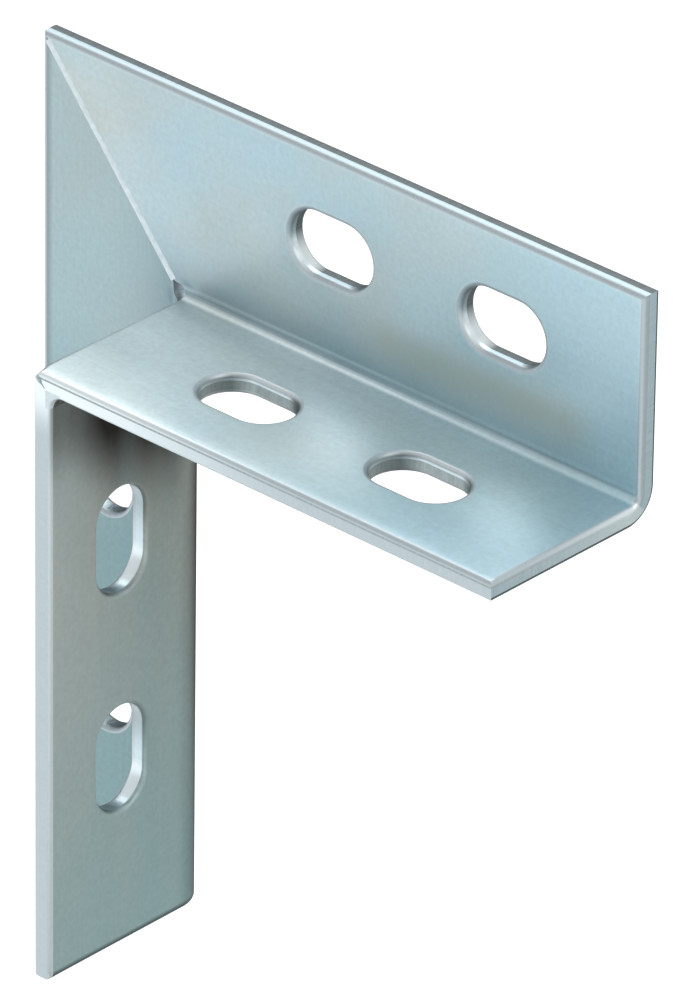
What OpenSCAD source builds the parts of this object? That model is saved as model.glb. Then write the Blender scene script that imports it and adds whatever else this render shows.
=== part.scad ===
// Welded angle bracket: two folded angles with slotted flanges, mitred into one corner.
// X runs along the shelf, Y goes into the wall and Z is up. The origin lies on the wall, midway
// between the two slots of the upright flange.

/* [Plate] */
// Thickness of the plate that both arms are folded from
plate_t = 4.5; // [3:0.1:6]
// Inside radius of the folds
fold_r = 3; // [1.5:0.1:5]
// Radius that the shears leave on the edges of the inside faces
roll_r = 1; // [0.4:0.1:1.4]
// Depth of the shelf and of the leg, from the wall
arm_d = 47; // [44:0.5:70]

/* [Horizontal arm] */
// Height of the upright flange, from the underside of the shelf
flange_h = 50; // [44:0.5:70]
// Length of the shelf, from the face of the leg
shelf_l = 117.5; // [105:0.5:200]

/* [Vertical arm] */
// Width of the wall flange beside the leg, from the face of the leg
side_w = 43; // [40:0.5:70]
// Length of the leg, from the underside of the shelf
leg_l = 135; // [120:0.5:220]

/* [Slots] */
// Width of every slot
slot_w = 14; // [9:0.5:16]
// Length of the slots in the horizontal arm
arm_slot_l = 22; // [18:0.5:30]
// Spacing of the slots in the horizontal arm
arm_pitch = 45.5; // [38:0.5:60]
// Length of the slots in the vertical arm
leg_slot_l = 24; // [18:0.5:30]
// Spacing of the slots in the vertical arm
leg_pitch = 50.5; // [38:0.5:60]
// From the face of the leg to the first slot of the upright flange
flange_slot_x = 35.5; // [28:0.5:45]
// From the face of the leg to the first slot of the shelf
shelf_slot_x = 34; // [28:0.5:45]
// From the underside of the shelf to the first slots of the vertical arm
leg_slot_z = 41; // [28:0.5:50]
// From the underside of the shelf to the slots of the upright flange
flange_slot_z = 29.5; // [22:0.5:34]
// From the face of the leg to the slots of the side flange
side_slot_x = 25.5; // [22:0.5:28]
// From the wall to the slots of the shelf and of the leg
depth_slot_y = 26; // [22:0.5:32]

/* [Corner] */
// Radius of the relief hole where the mitre meets the folds
relief_r = 1.8; // [1:0.1:2.5]
// Radius of the dressed outside edge between shelf and leg
dress_r = 1.5; // [0.5:0.1:2.5]
// Width of the weld along the mitre
weld_w = 1.6; // [1:0.1:3]
// Depth of the weld along the mitre
weld_depth = 1.2; // [0.6:0.1:2.5]
// Height that the weld stands proud of the flanges
weld_crown = 0.25; // [0.1:0.05:0.6]
// Radius of the fillet weld under the shelf
fillet_r = 3; // [1.5:0.1:5]

/* [Hidden] */
$fn = 64;
// Overrun of a cutter past the face that it leaves
over = 1;
// Corner of the underside of the shelf, the face of the leg and the wall, where the modules start
heel = [-flange_slot_x - arm_pitch / 2, 0, -flange_slot_z];
heel_r = fold_r + plate_t;
slot_r = slot_w / 2;
// Run of the mitre across the flanges, from the inside corner to the outside corner
mitre_run = [plate_t - side_w, flange_h - plate_t];
mitre_l = norm(mitre_run);
mitre_turn = atan2(mitre_run[1], mitre_run[0]);
mitre_slope = mitre_run[0] / mitre_run[1];
// Middle of the relief hole along the mitre, so that the hole takes in the inside corner
relief_at = relief_r / 2;
// Stretch of the mitre that is welded, clear of the relief hole and of the rolled edges
weld_start = relief_at + 1.5 * relief_r;
weld_end = mitre_l - 2 * roll_r;
crown_r = (weld_w * weld_w / 4 + weld_crown * weld_crown) / (2 * weld_crown);

// Waste left outside a rounded corner whose material lies towards +x and +y
module corner_waste(r) {
    difference() {
        translate([-over, -over]) square(r + over);
        translate([r, r]) circle(r);
    }
}

// Section of a folded angle: its flange rises along y and its other leaf runs out along x
module angle_section(flange, leaf) {
    difference() {
        union() {
            translate([heel_r, 0]) square([leaf - heel_r, plate_t]);
            translate([0, heel_r]) square([plate_t, flange - heel_r]);
            intersection() {
                square(heel_r);
                translate([heel_r, heel_r]) difference() {
                    circle(heel_r);
                    circle(fold_r);
                }
            }
        }
        translate([plate_t, flange]) rotate(180) corner_waste(roll_r);
        translate([leaf, plate_t]) rotate(180) corner_waste(roll_r);
    }
}

// Half of a slot's rolled mouth, from its axis out, with the plate's face on y = 0
module mouth_half() {
    difference() {
        translate([0, -roll_r]) square([slot_r + roll_r, roll_r + over]);
        translate([slot_r + roll_r, -roll_r]) circle(roll_r);
    }
}

// Punched slot along x through a plate that lies below z = 0, rolled at the top
module slot_cut(length) {
    run = length - slot_w;
    for (side = [-1, 1]) {
        translate([side * run / 2, 0, 0]) {
            translate([0, 0, -plate_t - over]) cylinder(r = slot_r, h = plate_t + 2 * over);
            rotate_extrude() mouth_half();
        }
    }
    translate([-run / 2, -slot_r, -plate_t - over]) cube([run, slot_w, plate_t + 2 * over]);
    translate([-run / 2, 0, 0]) rotate([90, 0, 90]) linear_extrude(run) {
        mouth_half();
        mirror([1, 0]) mouth_half();
    }
}

// Two slots of the given length and pitch along x, the first at the origin
module slot_pair(length, pitch) {
    for (i = [0, 1]) translate([i * pitch, 0, 0]) slot_cut(length);
}

// Front outline of what lies on the shelf's side of the mitre
module shelf_side() {
    polygon([
        [0, -over], [0, 0], [-plate_t, plate_t],
        [-side_w + over * mitre_slope, flange_h + over],
        [shelf_l + over, flange_h + over], [shelf_l + over, -over],
    ]);
}

// Front outline of what lies on the leg's side of the mitre
module leg_side() {
    polygon([
        [over, 0], [0, 0], [-plate_t, plate_t],
        [-side_w + over * mitre_slope, flange_h + over], [-side_w - 2 * over, flange_h + over],
        [-side_w - 2 * over, -leg_l - over], [over, -leg_l - over],
    ]);
}

// A front outline carried through the whole depth of the bracket
module through_depth() {
    translate([0, over, 0]) rotate([90, 0, 0]) linear_extrude(arm_d + 2 * over) children();
}

// Waste outside the dressed edge between the shelf and the leg
module dressed_edge() {
    translate([-plate_t, -plate_t - fold_r, plate_t]) rotate([90, 0, 0])
        linear_extrude(arm_d - plate_t - fold_r + over) rotate(-90) corner_waste(dress_r);
}

// Hole that keeps the weld clear of the folds at the inside end of the mitre
module relief_hole() {
    middle = relief_at / mitre_l * mitre_run;
    translate([middle[0] - plate_t, over, middle[1] + plate_t]) rotate([90, 0, 0])
        cylinder(r = relief_r, h = plate_t + fold_r + 2 * over);
}

// Carries a profile along the weld: x is depth into the flanges and y runs across the mitre
module along_weld() {
    translate([-plate_t, -plate_t, plate_t]) rotate([0, -mitre_turn, 0]) translate([weld_start, 0, 0])
        rotate([90, 0, 90]) linear_extrude(weld_end - weld_start) children();
}

// Bevel of one arm's flange for the weld: side is 1 on the vertical arm and -1 on the horizontal arm
module weld_bevel(side) {
    flare = weld_w / 2 * over / weld_depth;
    near = weld_w / 2 + flare;
    far = -weld_w - flare;
    along_weld() polygon([
        [-over, side * near], [weld_depth + over, -side * flare],
        [weld_depth + over, side * far], [-over, side * far],
    ]);
}

// What both arms lose at the corner
module corner_cuts() {
    dressed_edge();
    relief_hole();
}

module horizontal_arm() {
    color("lightsteelblue") intersection() {
        difference() {
            translate([-side_w - over, 0, 0]) rotate([90, 0, 90])
                linear_extrude(side_w + shelf_l + over) mirror([1, 0]) angle_section(flange_h, arm_d);
            translate([flange_slot_x, -plate_t, flange_slot_z]) rotate([90, 0, 0])
                slot_pair(arm_slot_l, arm_pitch);
            translate([shelf_slot_x, -depth_slot_y, plate_t]) slot_pair(arm_slot_l, arm_pitch);
            corner_cuts();
            weld_bevel(-1);
        }
        through_depth() shelf_side();
    }
}

module vertical_arm() {
    color("silver") intersection() {
        difference() {
            translate([0, 0, -leg_l]) linear_extrude(leg_l + flange_h)
                mirror([1, 1]) angle_section(side_w, arm_d);
            translate([-side_slot_x, -plate_t, -leg_slot_z]) rotate([90, 90, 0])
                slot_pair(leg_slot_l, leg_pitch);
            translate([-plate_t, -depth_slot_y, -leg_slot_z]) rotate([0, 90, 0]) mirror([0, 0, 1])
                slot_pair(leg_slot_l, leg_pitch);
            corner_cuts();
            weld_bevel(1);
        }
        through_depth() leg_side();
    }
}

// Weld along the mitre: it fills the groove and stands proud in a low crown
module mitre_weld() {
    color("gainsboro") along_weld() {
        polygon([[0, -weld_w / 2], [weld_depth, 0], [0, weld_w / 2]]);
        intersection() {
            translate([crown_r - weld_crown, 0]) circle(crown_r);
            translate([-weld_w, -weld_w]) square([weld_w, 2 * weld_w]);
        }
    }
}

// Fillet weld in the inside corner under the shelf, from its front edge to the folds
module corner_weld() {
    color("gainsboro") translate([0, -heel_r, 0]) rotate([90, 0, 0])
        linear_extrude(arm_d - heel_r) difference() {
            translate([0, -fillet_r]) square(fillet_r);
            translate([fillet_r, -fillet_r]) circle(fillet_r);
        }
}

translate(heel) horizontal_arm();
translate(heel) vertical_arm();
translate(heel) mitre_weld();
translate(heel) corner_weld();
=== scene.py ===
"""Angle bracket of two folded and slotted steel angles, mitred, welded and zinc plated.

Each angle is drawn as the flat blank that the shears and the punch leave, as grids of (along, across, depth), and is
then folded by one formula. Sizes are in millimetres and become metres when a piece is placed.
"""

from __future__ import annotations

import logging
import math
from dataclasses import dataclass, field
from enum import Enum

import bmesh
import bpy
import numpy as np
from mathutils import Matrix, Vector

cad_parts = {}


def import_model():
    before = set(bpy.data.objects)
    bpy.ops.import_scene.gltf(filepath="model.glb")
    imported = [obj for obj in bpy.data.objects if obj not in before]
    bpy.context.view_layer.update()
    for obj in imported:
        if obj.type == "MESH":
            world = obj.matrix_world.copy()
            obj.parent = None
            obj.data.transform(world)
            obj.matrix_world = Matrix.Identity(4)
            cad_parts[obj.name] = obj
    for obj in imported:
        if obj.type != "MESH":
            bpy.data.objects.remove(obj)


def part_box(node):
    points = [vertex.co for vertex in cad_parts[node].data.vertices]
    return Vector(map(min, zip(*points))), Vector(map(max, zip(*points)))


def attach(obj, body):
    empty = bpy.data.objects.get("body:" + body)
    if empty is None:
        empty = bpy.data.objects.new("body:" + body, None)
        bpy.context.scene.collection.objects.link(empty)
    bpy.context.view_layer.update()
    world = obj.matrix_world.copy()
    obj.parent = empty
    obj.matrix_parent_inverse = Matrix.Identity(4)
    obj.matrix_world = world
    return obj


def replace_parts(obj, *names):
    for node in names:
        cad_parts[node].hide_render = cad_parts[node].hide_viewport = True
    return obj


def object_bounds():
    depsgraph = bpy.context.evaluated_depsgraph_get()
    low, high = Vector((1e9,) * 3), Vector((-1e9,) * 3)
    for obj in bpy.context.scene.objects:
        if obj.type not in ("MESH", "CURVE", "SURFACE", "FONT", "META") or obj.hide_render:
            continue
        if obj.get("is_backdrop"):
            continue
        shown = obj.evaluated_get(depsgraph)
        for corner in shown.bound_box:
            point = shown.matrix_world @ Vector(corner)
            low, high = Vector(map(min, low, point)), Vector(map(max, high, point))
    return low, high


LOG = logging.getLogger("bracket")
MM = 0.001
BODY = "root"
PHOTO_SIZE = (680, 1003)
# Marks for the grids whose finish reads none
PLAIN = np.array([1.0, 0.0, 0.0, 0.0])
# Range that most of a noise's values lie in, and the range of a full mix
USUAL = (0.3, 0.7)
FULL = (0.0, 1.0)
# Points nearer than this become one
MERGE_M = 2e-6
# Edges that turn by more than these stay sharp
ARM_CREASE_DEG = 32.0
WELD_CREASE_DEG = 40.0
STAGE_CREASE_DEG = 30.0

Rgb = tuple[float, float, float]
Xyz = tuple[float, float, float]
Pair = tuple[float, float]
Array = np.ndarray
Socket = bpy.types.NodeSocket
Material = bpy.types.Material


class ArmPlace(Enum):
    """How an arm lies: the directions of its length, its flange and its depth out from the wall."""

    HORIZONTAL = ((1, 0, 0), (0, 0, 1), (0, -1, 0))
    VERTICAL = ((0, 0, -1), (-1, 0, 0), (0, -1, 0))


class Zone(Enum):
    """The parts of a plate's skin that look different; the value is the material slot."""

    SHEET = 0
    BACK = 1
    ROUNDED = 2
    BURNISHED = 3
    TORN = 4
    DULL = 5


class EdgeKind(Enum):
    """How an edge was cut; the value gives the zones of its section's bands, from the inside face to the outside."""

    PUNCHED = (Zone.ROUNDED, Zone.BURNISHED, Zone.BURNISHED, Zone.TORN, Zone.TORN)
    SHEARED = (Zone.ROUNDED, Zone.DULL, Zone.ROUNDED, Zone.ROUNDED, Zone.ROUNDED)
    ROLLED = (Zone.ROUNDED, Zone.ROUNDED, Zone.ROUNDED, Zone.ROUNDED, Zone.ROUNDED)
    TUMBLED = (Zone.ROUNDED, Zone.ROUNDED, Zone.BURNISHED, Zone.BURNISHED, Zone.BACK)
    SHAVED = (Zone.ROUNDED, Zone.BURNISHED, Zone.DULL, Zone.DULL, Zone.TORN)


class Graph:
    """A node tree with short calls to add nodes and join them."""

    def __init__(self, tree: bpy.types.NodeTree) -> None:
        """Empties the tree and keeps it."""
        tree.nodes.clear()
        self.tree = tree

    def add(self, kind: str, inputs: dict | None = None, **settings: object) -> bpy.types.Node:
        """Adds a node.

        Args:
            kind: The node's type name.
            inputs: Values by socket name or number; a socket is joined, anything else is set.
            settings: Properties of the node itself.

        Returns:
            The new node.
        """
        node = self.tree.nodes.new(kind)
        for name, value in settings.items():
            setattr(node, name, value)
        for name, value in (inputs or {}).items():
            if isinstance(value, Socket):
                self.tree.links.new(value, node.inputs[name])
            else:
                node.inputs[name].default_value = value
        return node

    def noise(self, vector: Socket, scale: float, detail: float) -> Socket:
        """Returns the factor of a noise texture on the given coordinates."""
        return self.add("ShaderNodeTexNoise", {"Vector": vector, "Scale": scale, "Detail": detail}).outputs["Fac"]

    def scaled(self, vector: Socket, scale: Pair) -> Socket:
        """Returns a map's coordinates times a scale along and one across."""
        return self.add("ShaderNodeMapping", {"Vector": vector, "Scale": (*scale, 1.0)}).outputs[0]

    def span(self, value: Socket, source: Pair, target: Pair) -> Socket:
        """Returns the value carried from one range to another, held at the ends."""
        node = self.add("ShaderNodeMapRange", {"Value": value, "From Min": source[0], "From Max": source[1],
                                               "To Min": target[0], "To Max": target[1]}, clamp=True)
        return node.outputs["Result"]

    def math(self, operation: str, *values: object) -> Socket:
        """Returns the result of a sum, product or other operation on sockets and numbers."""
        return self.add("ShaderNodeMath", dict(enumerate(values)), operation=operation).outputs[0]

    def blend(self, factor: Socket | float, first: object, second: object, kind: str = "MIX") -> Socket:
        """Returns a mix of two colours, each a socket or a colour with alpha."""
        return self.add("ShaderNodeMix", {0: factor, 6: first, 7: second}, data_type="RGBA",
                        blend_type=kind).outputs[2]

    def metal_skin(self, tint: Socket, rough: Socket, height: Socket, relief: Pair, metal: float) -> None:
        """Ends the tree in the skin of plated metal.

        Args:
            tint: Its colour.
            rough: Its roughness.
            height: The height of its fine relief.
            relief: The relief's strength, and its full height in metres.
            metal: How far it is metal.
        """
        bump = self.add("ShaderNodeBump", {"Height": height, "Strength": relief[0], "Distance": relief[1]}).outputs[0]
        skin = self.add("ShaderNodeBsdfPrincipled", {"Base Color": tint, "Roughness": rough, "Normal": bump,
                                                     "Metallic": metal})
        self.add("ShaderNodeOutputMaterial", {"Surface": skin.outputs[0]})


def new_material(name: str) -> tuple[Material, Graph]:
    """Returns a new material and its emptied node tree."""
    material = bpy.data.materials.new(name)
    material.use_nodes = True
    return material, Graph(material.node_tree)


def rgba(colour: Rgb) -> tuple[float, float, float, float]:
    """Returns a colour with full alpha."""
    return (*colour, 1.0)


def metres(*parts: Array) -> Array:
    """Returns lengths in millimetres, one for each axis of a point or a chart, as metres on the last axis."""
    return MM * np.stack(np.broadcast_arrays(*parts), -1)


def ramp(value: Array, start: float, run: float) -> Array:
    """Returns a straight rise from 0 at the start to 1 one run further on, held at both ends."""
    return np.clip((value - start) / run, 0, 1)


def hump(value: Array, middle: float, spread: float) -> Array:
    """Returns a bell curve: e to the minus square of the distance from the middle over the spread."""
    return np.exp(-((value - middle) / spread) ** 2)


@dataclass(frozen=True)
class PlatedSheet:
    """Blue zinc plating over rolled sheet.

    Clouds of tint and paler blooms lie under a grain along the arm, and the tint drifts towards its far end, which on
    the lower sheet is painted shade. The sheet is darkened by painted shade in the pocket of the fold and takes its rim
    colour near the cut edges. Its painted shade colour covers a painted shadow by the weld, painted shade round the
    outside of the fold, and a band of painted shade above the upper arm's fold on the inside. The pale colour also
    takes painted light and painted highlights.
    """

    name: str
    cool: Rgb = (0.395, 0.54, 0.60)
    warm: Rgb = (0.46, 0.53, 0.525)
    pale_and_highlight: Rgb = (0.86, 0.975, 0.99)
    far: Rgb = (0.45, 0.63, 0.70)
    pocket: Rgb = (0.13, 0.205, 0.245)
    painted_shade: Rgb = (0.012, 0.011, 0.008)
    rim: Rgb = (0.62, 0.70, 0.74)
    roughness: float = 0.38
    metal: float = 0.75
    cloud_scale: Pair = (24.0, 30.0)
    cloud_range: Pair = (0.38, 0.62)
    cloud_rough: Pair = (-0.03, 0.04)
    bloom_scale: float = 15.0
    bloom_range: Pair = (0.45, 0.72)
    bloom_most: float = 0.4
    crystal_scale: float = 900.0
    crystal_shade: Pair = (0.94, 1.04)
    crystal_height: float = 0.35
    grain_scale: Pair = (14.0, 1500.0)
    grain_shade: Pair = (0.97, 1.02)
    grain_rough: Pair = (-0.03, 0.03)
    grain_height: float = 0.5
    relief: Pair = (0.12, 0.00006)
    far_span_mm: Pair = (30.0, 110.0)
    far_share: float = 0.85
    patchy: Pair = (0.75, 1.15)
    shade_lift: float = 0.15
    shade_rough: float = 0.25
    rim_width_mm: float = 1.6
    rim_share: float = 0.35

    def material(self) -> Material:
        """Returns the finish as a new material."""
        material, graph = new_material(self.name)
        place = graph.add("ShaderNodeTexCoord").outputs["Object"]
        sheet = graph.add("ShaderNodeUVMap", uv_map="sheet").outputs["UV"]
        marks = graph.add("ShaderNodeAttribute", attribute_name="marks").outputs
        rim, pocket, painted_shade = graph.add("ShaderNodeSeparateColor", {"Color": marks["Color"]}).outputs
        clouds = graph.noise(graph.scaled(sheet, self.cloud_scale), scale=1.0, detail=3.0)
        blooms = graph.noise(place, self.bloom_scale, detail=2.0)
        crystals = graph.noise(place, self.crystal_scale, detail=3.0)
        grain = graph.noise(graph.scaled(sheet, self.grain_scale), scale=1.0, detail=4.0)
        tint = graph.blend(graph.span(clouds, self.cloud_range, FULL), rgba(self.cool), rgba(self.warm))
        # Random blooms make it paler, and the marks add painted light and painted highlights.
        pale = graph.math("ADD", graph.span(blooms, self.bloom_range, (0.0, self.bloom_most)), marks["Alpha"])
        tint = graph.blend(graph.math("MINIMUM", pale, 1.0), tint, rgba(self.pale_and_highlight))
        # Towards the far end the tint drifts; on the lower sheet this is painted shade.
        along = graph.add("ShaderNodeSeparateXYZ", {"Vector": sheet}).outputs[0]
        far_from, far_to = (MM * end for end in self.far_span_mm)
        tint = graph.blend(graph.span(along, (far_from, far_to), (0.0, self.far_share)), tint, rgba(self.far))
        shade = graph.math("MULTIPLY", graph.span(crystals, USUAL, self.crystal_shade),
                           graph.span(grain, USUAL, self.grain_shade))
        grey = graph.add("ShaderNodeCombineColor", {0: shade, 1: shade, 2: shade}).outputs[0]
        tint = graph.blend(1.0, tint, grey, "MULTIPLY")
        patchy = graph.span(clouds, USUAL, self.patchy)
        # Painted shade in the pocket of the fold.
        tint = graph.blend(graph.math("MULTIPLY", pocket, patchy), tint, rgba(self.pocket))
        # Painted shade and painted shadow from the marks, with more roughness where they lie.
        shaded = graph.math("MULTIPLY", painted_shade, graph.math("ADD", patchy, self.shade_lift))
        shaded = graph.math("MINIMUM", shaded, 1.0)
        tint = graph.blend(shaded, tint, rgba(self.painted_shade))
        near_rim = graph.span(rim, (self.rim_width_mm / 2, self.rim_width_mm), (self.rim_share, 0.0))
        tint = graph.blend(near_rim, tint, rgba(self.rim))
        rough = graph.math("ADD", graph.span(clouds, USUAL, self.cloud_rough), self.roughness)
        rough = graph.math("ADD", rough, graph.span(grain, USUAL, self.grain_rough))
        rough = graph.math("ADD", rough, graph.math("MULTIPLY", shaded, self.shade_rough))
        height = graph.math("ADD", graph.math("MULTIPLY", grain, self.grain_height),
                            graph.math("MULTIPLY", crystals, self.crystal_height))
        graph.metal_skin(tint, rough, height, self.relief, self.metal)
        return material


@dataclass(frozen=True)
class CutWall:
    """A wall left by the shears or the punch, plated over streaks that run through the plate.

    Its marks add painted highlights by the highlight's share and painted shade by the shade's.
    """

    name: str
    colour: Rgb
    streak: Rgb
    roughness: float
    relief: float
    metal: float
    pale_and_highlight: Rgb = (0.84, 0.92, 0.94)
    highlight_share: float = 0.0
    shade: Rgb = (0.045, 0.065, 0.066)
    shade_share: float = 0.8
    streak_scale: Pair = (1800.0, 160.0)
    streak_share: float = 0.7
    streak_range: Pair = (0.36, 0.64)
    streak_rough: Pair = (-0.06, 0.08)
    pit_scale: float = 1600.0
    pit_share: float = 0.3
    relief_m: float = 0.0001

    def material(self) -> Material:
        """Returns the finish as a new material."""
        material, graph = new_material(self.name)
        place = graph.add("ShaderNodeTexCoord").outputs["Object"]
        wall = graph.add("ShaderNodeUVMap", uv_map="sheet").outputs["UV"]
        streaks = graph.noise(graph.scaled(wall, self.streak_scale), scale=1.0, detail=3.0)
        pits = graph.noise(place, self.pit_scale, detail=2.0)
        height = graph.math("ADD", graph.math("MULTIPLY", streaks, self.streak_share),
                            graph.math("MULTIPLY", pits, self.pit_share))
        tint = graph.blend(graph.span(height, self.streak_range, FULL), rgba(self.colour), rgba(self.streak))
        marks = graph.add("ShaderNodeAttribute", attribute_name="marks").outputs
        # Painted highlights from the marks.
        pale = graph.math("MULTIPLY", marks["Alpha"], self.highlight_share)
        tint = graph.blend(pale, tint, rgba(self.pale_and_highlight))
        # Painted shade from the marks.
        dark = graph.add("ShaderNodeSeparateColor", {"Color": marks["Color"]}).outputs["Blue"]
        tint = graph.blend(graph.math("MULTIPLY", dark, self.shade_share), tint, rgba(self.shade))
        rough = graph.math("ADD", graph.span(height, USUAL, self.streak_rough), self.roughness)
        graph.metal_skin(tint, rough, height, (self.relief, self.relief_m), self.metal)
        return material


@dataclass(frozen=True)
class WeldBead:
    """Dressed weld metal under the same plating, with fine spatter."""

    name: str = "zinc_plated_weld"
    colour: Rgb = (0.62, 0.71, 0.74)
    hollow: Rgb = (0.55, 0.63, 0.66)
    roughness: float = 0.40
    metal: float = 0.7
    spatter_scale: float = 700.0
    spatter_range: Pair = (0.35, 0.65)
    spatter_rough: Pair = (0.08, -0.05)
    relief: Pair = (0.3, 0.0002)

    def material(self) -> Material:
        """Returns the finish as a new material."""
        material, graph = new_material(self.name)
        place = graph.add("ShaderNodeTexCoord").outputs["Object"]
        spatter = graph.noise(place, self.spatter_scale, detail=4.0)
        tint = graph.blend(graph.span(spatter, self.spatter_range, FULL), rgba(self.hollow), rgba(self.colour))
        rough = graph.math("ADD", graph.span(spatter, USUAL, self.spatter_rough), self.roughness)
        graph.metal_skin(tint, rough, spatter, self.relief, self.metal)
        return material


@dataclass
class GridMesh:
    """Gathers grids of points and turns them into one closed mesh."""

    points: list[Array] = field(default_factory=list)
    faces: list[Array] = field(default_factory=list)
    maps: list[Array] = field(default_factory=list)
    marks: list[Array] = field(default_factory=list)
    zones: list[Array] = field(default_factory=list)
    count: int = 0

    def grid(self, places: Array, chart: Array, marks: Array, zone: Zone = Zone.SHEET) -> None:
        """Adds one grid of quads.

        Args:
            places: Points in metres, of shape (rows, columns, 3).
            chart: The same points on the sheet's own map in metres, of shape (rows, columns, 2).
            marks: Distance in millimetres from the nearest cut edge, and shares of pocket shade, painted shade and
                painted light, at each point, of shape (rows, columns, 4), or one such row for all.
            zone: The part of the skin that the grid belongs to.
        """
        rows, columns = places.shape[:2]
        index = self.count + np.arange(rows * columns).reshape(rows, columns)
        quads = np.stack([index[:-1, :-1], index[1:, :-1], index[1:, 1:], index[:-1, 1:]], -1).reshape(-1, 4)
        self.points.append(places.reshape(-1, 3))
        self.maps.append(np.broadcast_to(chart, (rows, columns, 2)).reshape(-1, 2))
        self.marks.append(np.broadcast_to(marks, (rows, columns, 4)).reshape(-1, 4))
        self.faces.append(quads)
        self.zones.append(np.full(len(quads), zone.value, np.int32))
        self.count += rows * columns

    def object(self, name: str, materials: list[Material], crease_deg: float) -> bpy.types.Object:
        """Joins the grids where they touch and turns every face outwards.

        Args:
            name: The object's name.
            materials: One material for each zone, in order.
            crease_deg: Edges that turn by more than this stay sharp.

        Returns:
            The new object, linked to the scene.
        """
        points, quads, chart = np.concatenate(self.points), np.concatenate(self.faces), np.concatenate(self.maps)
        mesh = bpy.data.meshes.new(name)
        mesh.from_pydata(points.tolist(), [], quads.tolist())
        mesh.polygons.foreach_set("material_index", np.concatenate(self.zones))
        layer = mesh.uv_layers.new(name="sheet")
        layer.uv.foreach_set("vector", chart[quads.reshape(-1)].astype(np.float32).reshape(-1))
        marks = mesh.attributes.new("marks", "FLOAT_COLOR", "POINT")
        marks.data.foreach_set("color", np.concatenate(self.marks).astype(np.float32).reshape(-1))
        joined = bmesh.new()
        joined.from_mesh(mesh)
        bmesh.ops.remove_doubles(joined, verts=joined.verts, dist=MERGE_M)
        bmesh.ops.recalc_face_normals(joined, faces=joined.faces)
        open_edges = sum(1 for edge in joined.edges if not edge.is_manifold)
        joined.to_mesh(mesh)
        joined.free()
        mesh.shade_smooth()
        mesh.set_sharp_from_angle(angle=math.radians(crease_deg))
        for material in materials:
            mesh.materials.append(material)
        piece = bpy.data.objects.new(name, mesh)
        bpy.context.scene.collection.objects.link(piece)
        LOG.info("%s: %d faces, %d open edges", name, len(mesh.polygons), open_edges)
        return piece


@dataclass(frozen=True)
class Slot:
    """A round-ended slot on the flat blank, long along the arm."""

    along: float
    across: float
    length: float
    width: float

    def loop(self, long_steps: int, short_steps: int) -> tuple[Array, Array]:
        """Gives the slot's outline as points on its middle line and the directions out from them.

        A quarter of the outline faces each side of the rectangle around the slot: the straight part and half of each
        end's quarter turns face the long sides, and the rest of the ends faces the short sides.

        Args:
            long_steps: Steps along each long side.
            short_steps: Steps round each end.

        Returns:
            The points along the middle line, and the unit directions, the first point repeated at the end.
        """
        radius, half = self.width / 2, (self.length - self.width) / 2
        reach = half + radius * math.pi / 4
        run = np.linspace(-reach, reach, long_steps + 1)
        bend = np.sign(run) * np.clip((np.abs(run) - half) / radius, 0, None)
        turn = np.linspace(-math.pi / 4, math.pi / 4, short_steps + 1)
        core_long, core_short = np.clip(run, -half, half), np.full(short_steps + 1, half)
        way_long = np.stack([np.sin(bend), -np.cos(bend)], -1)
        way_short = np.stack([np.cos(turn), np.sin(turn)], -1)
        core = np.concatenate([core_long[:-1], core_short[:-1], -core_long[:-1], -core_short[:-1], core_long[:1]])
        way = np.concatenate([way_long[:-1], way_short[:-1], -way_long[:-1], -way_short[:-1], way_long[:1]])
        return core, way

    def contour(self, offset: Array | float, core: Array, way: Array) -> Array:
        """Returns the outline moved out by an offset: middle point plus (radius + offset) times the direction."""
        reach = self.width / 2 + offset
        return np.stack([self.along + core + reach * way[:, 0], self.across + reach * way[:, 1]], -1)

    def distance(self, along: Array, across: Array) -> Array:
        """Returns the distance from the outline: that from the middle line, less the end's radius."""
        half = (self.length - self.width) / 2
        past = np.clip(np.abs(along - self.along) - half, 0, None)
        return np.hypot(past, across - self.across) - self.width / 2


@dataclass(frozen=True)
class CutEdge:
    """Section of a cut edge: rolled over by the tool, three bands of wall, and tumbled round at the outside."""

    plate_t: float = 4.5
    roll_r: float = 1.0
    outer_r: float = 1.1
    band_ends: Pair = (1.45, 1.9)
    turn_steps: int = 6

    def bands(self) -> list[tuple[Array, Array]]:
        """Gives the section from the inside face to the outside face: a quarter turn, three walls, a quarter turn.

        Returns:
            For each band the offsets into the plate and the depths below the inside face.
        """
        turn = np.linspace(0, math.pi / 2, self.turn_steps + 1)
        last = self.plate_t - self.outer_r
        stops = (self.roll_r, *self.band_ends, last)
        walls = [(np.zeros(2), np.array(pair)) for pair in zip(stops[:-1], stops[1:])]
        return [
            (self.roll_r * (1 - np.sin(turn)), self.roll_r * (1 - np.cos(turn))),
            *walls,
            (self.outer_r * (1 - np.cos(turn)), last + self.outer_r * np.sin(turn)),
        ]


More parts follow.
